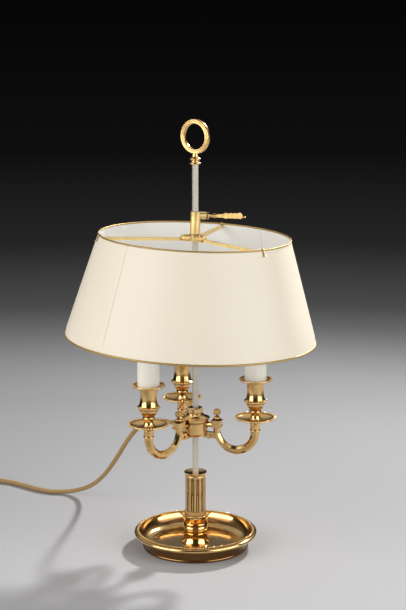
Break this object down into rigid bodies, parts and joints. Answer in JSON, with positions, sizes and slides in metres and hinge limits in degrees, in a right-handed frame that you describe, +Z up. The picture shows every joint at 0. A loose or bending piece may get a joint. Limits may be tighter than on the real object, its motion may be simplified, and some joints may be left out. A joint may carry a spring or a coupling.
{
  "type": "bouillotte lamp",
  "caption": "Table lamp with a dish foot, fluted column and ringed stem, candle lights on curved arms, and a shade that slides on the stem.",
  "frame": {"origin": "centre of the base's underside, on the surface that the lamp stands on", "axes": "+Z up along the stem; +X towards the side that the shade's clamp key points to; +Y towards the first candle arm"},
  "size_m": [0.6058, 0.6834, 0.64],
  "materials": {
    "brass": "polished and lacquered",
    "nickel": "satin",
    "steel": "plain",
    "aluminium": "satin",
    "iron": "as cast",
    "felt": "felt",
    "candle": "milky, satin",
    "white_plastic": "satin",
    "bulb_glass": "opal",
    "shade_paint": "satin cream outside, white inside",
    "flex": "braided gold silk",
    "switch_plastic": "gold-brown"
  },
  "bodies": {
    "stand": {"base_dish": "brass", "base_bead_border": "brass", "base_weight": "iron", "base_felt": "felt", "stem_washer": "steel", "stem_nut": "steel", "pedestal": "brass", "column_bead_ring": "brass", "fluted_column": "brass", "column_cap": "brass", "stem": "nickel", "ring_finial": "brass", "bracket_hub": "brass", "bracket_cover": "brass", "bracket_crown": "brass", "hub_set_screw": "steel", "terminal_block": "white_plastic", "cord_gland": "brass", "arm_1": "brass", "arm_2": "brass", "arm_3": "brass", "arm_finial_1": "brass", "arm_finial_2": "brass", "arm_finial_3": "brass", "arm_collar_1": "brass", "arm_collar_2": "brass", "arm_collar_3": "brass", "drip_pan_1": "brass", "drip_pan_2": "brass", "drip_pan_3": "brass", "candle_cup_1": "brass", "candle_cup_2": "brass", "candle_cup_3": "brass", "candle_sleeve_1": "candle", "candle_sleeve_2": "candle", "candle_sleeve_3": "candle", "lampholder_1": "white_plastic", "lampholder_2": "white_plastic", "lampholder_3": "white_plastic", "bulb_1": "bulb_glass", "bulb_2": "bulb_glass", "bulb_3": "bulb_glass", "bulb_caps": "aluminium", "cup_nipples": "steel", "cord_lead": "flex", "switch_body": "switch_plastic", "cord_tail": "flex", "cord_coil": "flex", "plug_body": "switch_plastic", "plug_pins": "nickel"},
    "shade_carrier": {"shade_skin": "shade_paint", "shade_top_ring": "brass", "shade_bottom_ring": "brass", "spider": "brass", "clamp_sleeve": "brass"},
    "clamp_pad": {"clamp_pad": "brass"},
    "key": {"key_screw": "brass", "key_handle": "brass"},
    "switch_rocker": {"switch_rocker": "switch_plastic"}
  },
  "joints": [
    {"name": "shade_slide", "type": "slide", "parent": "stand", "child": "shade_carrier", "axis": [0, 0, 1], "range_m": [-0.215, 0.068]},
    {"name": "key_advance", "type": "slide", "parent": "shade_carrier", "child": "clamp_pad", "axis": [0.9991, 0, -0.0435], "range_m": [0, 0.0015]},
    {"name": "key_turn", "type": "hinge", "parent": "clamp_pad", "child": "key", "pos_m": [0.02057, 0, 0.50002], "axis": [0.9991, 0, -0.0435], "range_deg": [0, 542]},
    {"name": "rocker_tilt", "type": "hinge", "parent": "stand", "child": "switch_rocker", "pos_m": [-0.30815, 0.38525, 0.012], "axis": [0.2249, 0.9744, 0], "range_deg": [-16, 0]}
  ],
  "couplings": [
    {"joint": "key_turn", "follows": "key_advance", "rad_per_m": 6283.2}
  ]
}
